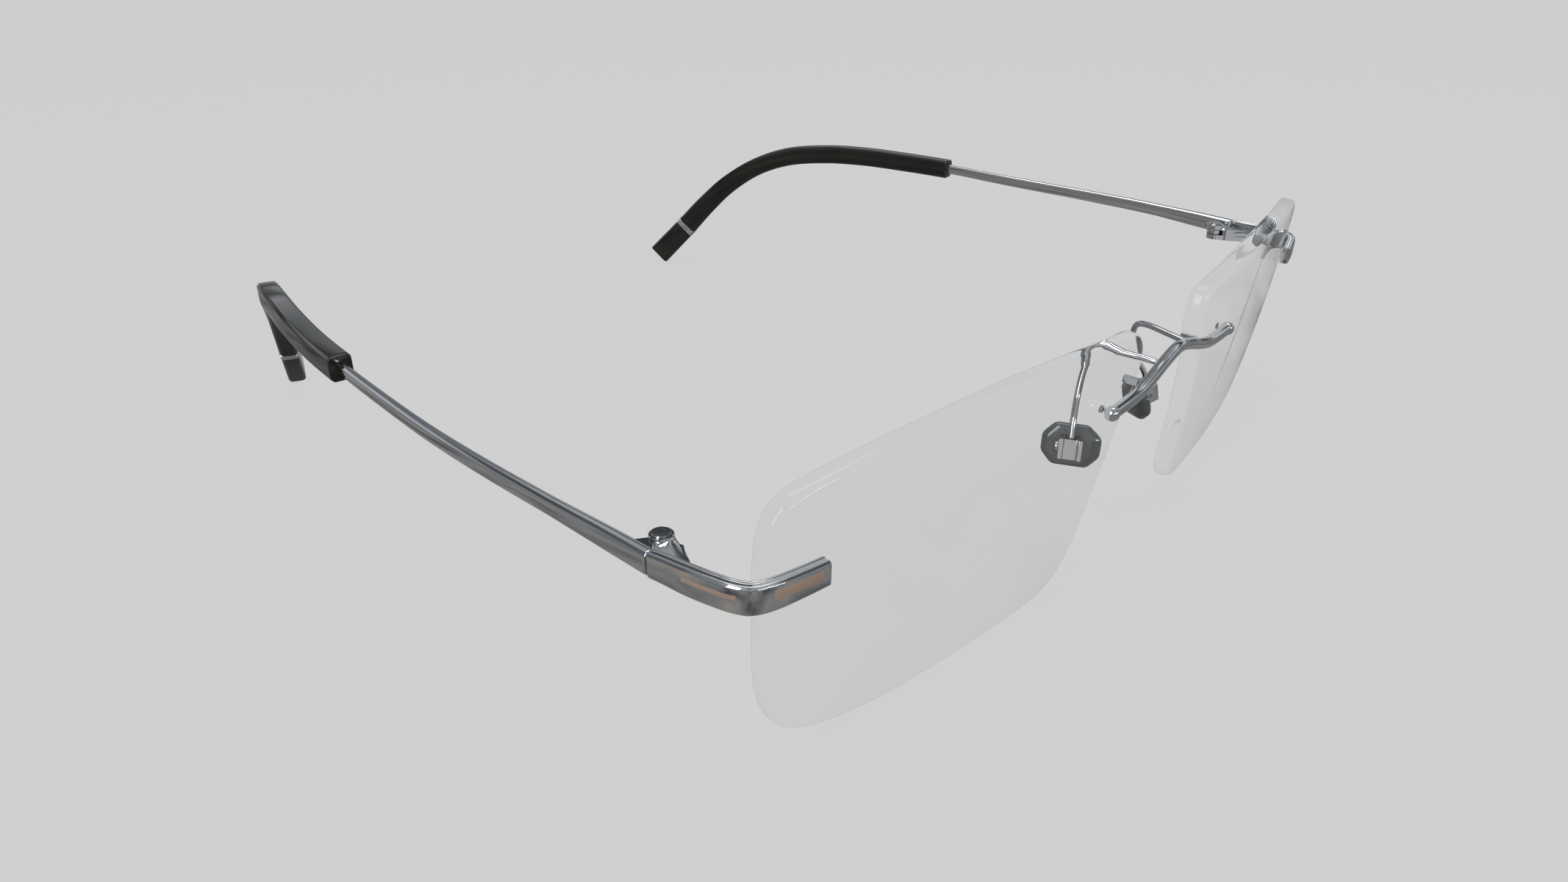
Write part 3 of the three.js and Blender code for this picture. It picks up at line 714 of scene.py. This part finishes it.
def pad_box_mesh():
    """A square clasp, open towards the pad, that holds the pad's lug between its walls."""
    near, far, wall = 1.3, 3.5, 0.4
    out, gap, half_height = 1.45, 0.7, 1.3
    lip, channel, depth = 0.95, 0.78, 0.22  # the channel that the arm's end lies in
    outline = [
        (near, -out), (far, -out), (far, -lip), (far - depth, -channel), (far - depth, channel),
        (far, lip), (far, out), (near, out),
        (near, gap), (far - wall, gap), (far - wall, -gap), (near, -gap),
    ]
    return Mesh().plate(outline, -half_height, half_height, 0.1).moved(pad_place())


def pad_screw_mesh():
    shank, head = 0.35, 0.76
    profile = [
        (shank - 0.08, -1.55), (shank, -1.47), (shank, 1.5), (head - 0.01, 1.5), (head, 1.78),
        (head - 0.06, 1.9), (0.5, 1.97), (0.1, 2.0),
    ]
    across = Matrix.Translation((PAD_AXIS_OFFSET, 0, 0)) @ Matrix.Rotation(-math.pi / 2, 4, "X")
    return Mesh().turned(profile, across, 40).moved(pad_place())


def pad_arm_mesh():
    return Mesh().sweep(
        Path(PAD_ARM_PATH),
        110,
        lambda t: round_section(PAD_ARM_RADIUS, 20),
        up=(1, 0, 0.2),
        round_ends=0.1,
    )


# ---------------------------------------------------------------- endpiece and hinge
endpiece_path = Path(ENDPIECE_PATH)


def endpiece_section(t):
    """A chamfered bar with a shallow groove along its top face."""
    w, h, c = ENDPIECE_WIDTH / 2, between(ENDPIECE_HEIGHT, t) / 2, ENDPIECE_CHAMFER
    groove, depth = GROOVE_HALF_WIDTH, GROOVE_DEPTH
    corners = [
        (w, -h + c), (w, h - c), (w - c, h), (groove, h), (groove - depth, h - depth),
        (depth - groove, h - depth), (-groove, h), (-w + c, h), (-w, h - c), (-w, -h + c),
        (-w + c, -h), (w - c, -h),
    ]
    return crowned_outline(corners, 0.07, ENDPIECE_CROWN, bulging=(0, 8))


def knuckle_span(level):
    """The bottom and top of a knuckle; level 0 is the uppermost of the three."""
    top = -level * (KNUCKLE_HEIGHT + KNUCKLE_GAP)
    return top - KNUCKLE_HEIGHT, top


def knuckle(made, level):
    profile = rimmed(BARREL_RADIUS, *knuckle_span(level), TURNED_RIM)
    return made.turned(profile, Matrix.Translation((HINGE.x, HINGE.y, 0)))


# How far the lug reaches from the hinge axis, by direction in degrees from +X.
LUG_REACH = [
    (-180, 1.25), (-150, 1.28), (-128, 1.45), (-112, 1.8), (-98, 2.5), (-86, 3.7), (-77, 5.3),
    (-71, 6.2), (-66, 6.1), (-60, 5.0), (-50, 3.4), (-42, 2.85), (-32, 2.45), (-18, 1.8),
    (0, 1.25), (180, 1.25),
]


def lug_ring(z, spread):
    """The lug's outline at a height; spread 1 is its full reach and 0 only the round barrel."""
    ring = []
    for degrees in range(-180, 180, 3):
        reach = BARREL_RADIUS + (between(LUG_REACH, degrees) - BARREL_RADIUS) * spread
        a = math.radians(degrees)
        ring.append(Vector((HINGE.x + reach * math.cos(a), HINGE.y + reach * math.sin(a), z)))
    return ring


def lug_mesh(made):
    """Two arms that hold the temple's knuckle, the upper one rising in a hollow ramp."""
    upper, top = knuckle_span(0)
    foot, summit = upper + 0.12, top - TURNED_RIM
    hollow = 2.2
    rings = [lug_ring(upper, 0.98), lug_ring(upper + 0.05, 1)]
    steps = 14
    for k in range(steps + 1):
        h = k / steps
        rings.append(lug_ring(foot + (summit - foot) * h, (1 - h) ** hollow))
    rings.append([p.lerp(Vector((HINGE.x, HINGE.y, top)), 0.07) for p in lug_ring(top, 0)])
    made.skin(rings)
    bottom, lower = knuckle_span(2)
    levels = ((bottom, 0.97), (bottom + 0.06, 1), (lower - 0.03, 1), (lower, 0.98))
    made.skin([lug_ring(z, spread) for z, spread in levels])
    stem = [(67.5, -2.5), (67.7, -1.8), (69.3, -1.9), (69.5, -2.01), (70.9, -2.01), (70.4, -6.2)]
    return made.plate(stem, bottom + 0.05, upper + 0.2)


def endpiece_mesh():
    made = Mesh().sweep(endpiece_path, 90, endpiece_section, round_ends=0.12)
    return lug_mesh(made)


def inlay_mesh(start, end, upper, lower):
    """A strip let into the outer face; upper and lower are its edges, in mm below the top."""

    def section(t):
        face = -ENDPIECE_WIDTH / 2
        top = between(ENDPIECE_HEIGHT, t) / 2
        high, low = top - upper, top - lower
        inside, outside = face + INLAY_DEPTH, face - INLAY_PROUD
        return filleted([(inside, low), (inside, high), (outside, high), (outside, low)], 0.06, 3)

    return Mesh().sweep(endpiece_path, 30, section, start, end)


def screw_mesh():
    bottom = knuckle_span(2)[0]
    shank, head = 0.5, 0.98
    tip, seat = bottom - 0.12, -0.02
    profile = [
        (0.1, tip), (shank - 0.1, tip), (shank, bottom), (shank, seat), (head, seat),
        (head, 0.1), (head - 0.1, 0.2), (0.1, 0.22),
    ]
    return Mesh().turned(profile, Matrix.Translation((HINGE.x, HINGE.y, 0)))


# ---------------------------------------------------------------- temple
temple_path = Path(TEMPLE_PATH)


def fraction_at_y(y):
    """How far along the temple, as a share of its length, it comes to y."""
    low, high = 0.0, 1.0
    for _ in range(40):
        middle = (low + high) / 2
        if temple_path.at(middle).y < y:
            low = middle
        else:
            high = middle
    return low


SLEEVE_START = fraction_at_y(SLEEVE_START_Y)
END_START = 1 - END_LENGTH / temple_path.length
RING_START = END_START - RING_WIDTH / temple_path.length
TOUCH = RING_GAP / temple_path.length
TEMPLE_HEIGHT = [(0, 2.75), (0.04, 2.6), (0.1, 2.15), (0.25, 2.0), (SLEEVE_START, 1.8)]
TEMPLE_WIDTH = [(0, 1.4), (0.1, 1.25), (SLEEVE_START, 1.1)]
SLEEVE_HEIGHT = [(SLEEVE_START, 3.5), (0.6, 3.6), (0.75, 3.7), (RING_START, 4.6), (1, 4.9)]


def temple_section(t):
    return bar_section(between(TEMPLE_WIDTH, t), between(TEMPLE_HEIGHT, t), TEMPLE_CHAMFER, 0.12)


def sleeve_section(t, grow=0.0):
    height = between(SLEEVE_HEIGHT, t) + grow
    return bar_section(SLEEVE_WIDTH + grow, height, SLEEVE_CHAMFER, 0.14)


def temple_mesh():
    """The bar, which ends inside the sleeve, and the web that carries its knuckle."""
    bar_end = SLEEVE_START + TEMPLE_IN_SLEEVE / temple_path.length
    made = Mesh().sweep(temple_path, 150, temple_section, 0, bar_end, round_ends=0.14)
    web = [(68.2, -1.3), (70.85, -1.6), (70.85, 2.4), (70.2, 2.4), (68.2, 1.0)]
    made.plate(web, *knuckle_span(1), 0.1)
    return knuckle(made, 1)


def sleeve_mesh():
    return Mesh().sweep(temple_path, 160, sleeve_section, SLEEVE_START, RING_START, round_ends=0.18)


def ring_section(t):
    return sleeve_section(t, RING_GROWTH)


def ring_mesh():
    start, end = RING_START + TOUCH, END_START - TOUCH
    return Mesh().sweep(temple_path, 6, ring_section, start, end, round_ends=0.1)


def sleeve_end_mesh():
    return Mesh().sweep(temple_path, 24, sleeve_section, END_START, 1, round_ends=0.12)


# ---------------------------------------------------------------- the pieces
finished(piece("bridge_wire", bridge_mesh(), WIRE), "front", "bridge")

FRONT_PIECES = [
    ("lens", lens_mesh, LENS, "lens_clear"),
    ("bridge_tab", bridge_tab_mesh, CHROME, "chrome_metal"),
    ("pad_arm", pad_arm_mesh, CHROME, "chrome_metal"),
    ("pad_box", pad_box_mesh, CHROME, "chrome_metal"),
    ("pad_screw", pad_screw_mesh, STEEL, "steel_hardware"),
    ("endpiece", endpiece_mesh, CHROME, "chrome_metal"),
    ("endpiece_front_inlay", lambda: inlay_mesh(0.05, 0.33, 0.7, 1.75), BRONZE, "bronze_enamel"),
    ("endpiece_side_inlay", lambda: inlay_mesh(0.49, 0.78, 0.95, 1.5), BRONZE, "bronze_enamel"),
    ("hinge_screw", screw_mesh, STEEL, "steel_hardware"),
    ("bridge_post", lambda: post_mesh("bridge"), STEEL, "steel_hardware"),
    ("bridge_bush", lambda: bush_mesh("bridge"), BUSH, "bush_clear"),
    ("endpiece_post", lambda: post_mesh("endpiece"), STEEL, "steel_hardware"),
    ("endpiece_bush", lambda: bush_mesh("endpiece"), BUSH, "bush_clear"),
]
TEMPLE_PIECES = [
    ("temple", temple_mesh, CHROME, "chrome_metal"),
    ("temple_sleeve", sleeve_mesh, SLEEVE, "sleeve_black"),
    ("sleeve_ring", ring_mesh, SILVER, "silver_ring"),
    ("sleeve_end", sleeve_end_mesh, SLEEVE, "sleeve_black"),
]
PAD_PIECES = [("nose_pad", pad_mesh, PAD, "pad_grey")]

for side, mirror in SIDES:
    groups = (("front", FRONT_PIECES), (f"temple_{side}", TEMPLE_PIECES), (f"pad_{side}", PAD_PIECES))
    for body, pieces in groups:
        for name, build, material, slot in pieces:
            node = f"{name}_{side}"
            crease = CREASES.get(name, CREASE)
            obj = piece(f"fine_{node}", build(), material, mirror, crease)
            finished(obj, body, node)


# ---------------------------------------------------------------- camera
CAMERA_LENS = 24.447
CAMERA_PLACE = (-124.87, -64.38, 55.54)  # in the hinge frame, as are the two directions
CAMERA_RIGHT = Vector((0.6566, -0.7542, 0.0080))
CAMERA_FORWARD = Vector((0.6672, 0.5758, -0.4726))


def add_camera():
    data = bpy.data.cameras.new("camera")
    data.lens = CAMERA_LENS
    data.sensor_width = 36.0
    data.clip_start = 0.005
    data.clip_end = 50
    camera = bpy.data.objects.new("camera", data)
    bpy.context.scene.collection.objects.link(camera)
    right = FLOOR_TILT.to_3x3() @ CAMERA_RIGHT
    forward = FLOOR_TILT.to_3x3() @ CAMERA_FORWARD
    right = (right - forward * right.dot(forward)).normalized()
    up = right.cross(forward).normalized()
    turn = Matrix((right, up, -forward)).transposed().to_4x4()
    camera.matrix_world = Matrix.Translation(in_row(CAMERA_PLACE)) @ turn
    bpy.context.scene.camera = camera


# ---------------------------------------------------------------- studio
BACKGROUND = 0.63  # the pale tone behind the part
FLOOR_DIRECT = BACKGROUND - 0.026
FLOOR_HALF_WIDTH = 30.0
FLOOR_DROP = 0.0002  # keeps the floor clear of the part that stands on it

# What polished surfaces reflect: patches on the floor by noise, bands in the room by height
# from straight down (0) to straight up (1), and patches that darken or brighten the bands.
FLOOR_REFLECTED = [
    (0.32, (0.07, 0.072, 0.075)),
    (0.45, (0.19, 0.19, 0.19)),
    (0.55, (0.27, 0.27, 0.265)),
    (0.62, (0.33, 0.30, 0.27)),
    (0.70, (0.46, 0.38, 0.31)),
]
ROOM_REFLECTED = [
    (0.0, (0.12, 0.10, 0.085)),
    (0.22, (0.30, 0.25, 0.21)),
    (0.34, (0.09, 0.08, 0.075)),
    (0.41, (0.34, 0.28, 0.23)),
    (0.46, (0.12, 0.105, 0.095)),
    (0.485, (0.30, 0.275, 0.25)),
    (0.515, (0.06, 0.062, 0.065)),
    (0.55, (0.28, 0.30, 0.32)),
    (0.59, (0.09, 0.095, 0.10)),
    (0.63, (0.56, 0.58, 0.61)),
    (0.70, (0.50, 0.53, 0.56)),
    (0.73, (0.10, 0.11, 0.12)),
    (0.80, (0.16, 0.175, 0.19)),
    (0.86, (0.52, 0.54, 0.57)),
    (0.94, (0.30, 0.29, 0.28)),
    (1.0, (0.20, 0.20, 0.20)),
]
ROOM_PATCHES = [(0.35, 0.45), (0.48, 1.0), (0.56, 1.15), (0.68, 2.1)]

WHITE = (1, 1, 1)
LIGHT_TARGET = (0, -0.03, 0.02)
LIGHTS = [  # name, place, width and height, power, colour
    ("softbox_above", (0.10, 0.05, 0.9), (0.7, 0.35), 2.4, WHITE),
    ("softbox_left", (-0.75, -0.1, 0.45), (0.25, 0.6), 3.0, (0.93, 0.96, 1.0)),
    ("strip_front", (-0.1, -0.8, 0.30), (0.5, 0.08), 1.5, WHITE),
    ("low_warm", (-0.35, -0.75, -0.18), (0.4, 0.1), 1.0, (1.0, 0.78, 0.6)),
]


def seen_directly(tree, reflected, direct, target):
    """One grey where the camera sees it, also through a lens, and a pattern in reflections."""
    ray = tree.nodes.new("ShaderNodeLightPath")
    either = tree.nodes.new("ShaderNodeMath")
    either.operation = "MAXIMUM"
    tree.links.new(ray.outputs["Is Camera Ray"], either.inputs[0])
    tree.links.new(ray.outputs["Is Transmission Ray"], either.inputs[1])
    mix = tree.nodes.new("ShaderNodeMixRGB")
    tree.links.new(either.outputs["Value"], mix.inputs["Fac"])
    tree.links.new(reflected, mix.inputs["Color1"])
    mix.inputs["Color2"].default_value = (direct, direct, direct, 1)
    tree.links.new(mix.outputs["Color"], target)


def add_floor():
    data = bpy.data.meshes.new("floor")
    half = FLOOR_HALF_WIDTH
    corners = [(-half, -half, 0), (half, -half, 0), (half, half, 0), (-half, half, 0)]
    data.from_pydata([Vector(c) for c in corners], [], [(0, 1, 2, 3)])
    floor = bpy.data.objects.new("floor", data)
    bpy.context.scene.collection.objects.link(floor)
    floor.location.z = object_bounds()[0][2] - FLOOR_DROP
    material, tree, shader = new_material("pale_floor")
    shader.inputs["Base Color"].default_value = (0.03, 0.03, 0.03, 1)
    shader.inputs["Roughness"].default_value = 1
    shader.inputs["Specular IOR Level"].default_value = 0
    shader.inputs["Emission Strength"].default_value = 1
    patches = ramp(tree, noise(tree, 42, 2), FLOOR_REFLECTED)
    seen_directly(tree, patches, FLOOR_DIRECT, shader.inputs["Emission Color"])
    material.cycles.emission_sampling = "NONE"
    data.materials.append(material)


def add_world():
    world = bpy.data.worlds.new("studio")
    bpy.context.scene.world = world
    world.use_nodes = True
    tree = world.node_tree
    background = tree.nodes["Background"]
    place = tree.nodes.new("ShaderNodeTexCoord")
    split = tree.nodes.new("ShaderNodeSeparateXYZ")
    tree.links.new(place.outputs["Generated"], split.inputs["Vector"])
    height = tree.nodes.new("ShaderNodeMapRange")
    height.inputs["From Min"].default_value = -1
    tree.links.new(split.outputs["Z"], height.inputs["Value"])
    bands = ramp(tree, height.outputs["Result"], ROOM_REFLECTED)
    patches = ramp(tree, noise(tree, 2.6, 2, "Generated"), ROOM_PATCHES)
    room = multiplied(tree, bands, patches)
    seen_directly(tree, room, BACKGROUND, background.inputs["Color"])


def add_light(name, at, size, power, colour):
    data = bpy.data.lights.new(name, "AREA")
    data.shape = "RECTANGLE"
    data.size, data.size_y = size
    data.energy = power
    data.color = colour
    light = bpy.data.objects.new(name, data)
    bpy.context.scene.collection.objects.link(light)
    light.location = at
    aim = Vector(LIGHT_TARGET) - Vector(at)
    light.rotation_euler = aim.to_track_quat("-Z", "Y").to_euler()
    light.visible_camera = False
    light.visible_transmission = False


add_camera()
add_floor()
add_world()
for light_row in LIGHTS:
    add_light(*light_row)
bpy.context.scene.view_settings.view_transform = "Standard"
bounces = bpy.context.scene.cycles
bounces.max_bounces = 24
bounces.glossy_bounces = 20
bounces.transmission_bounces = 24
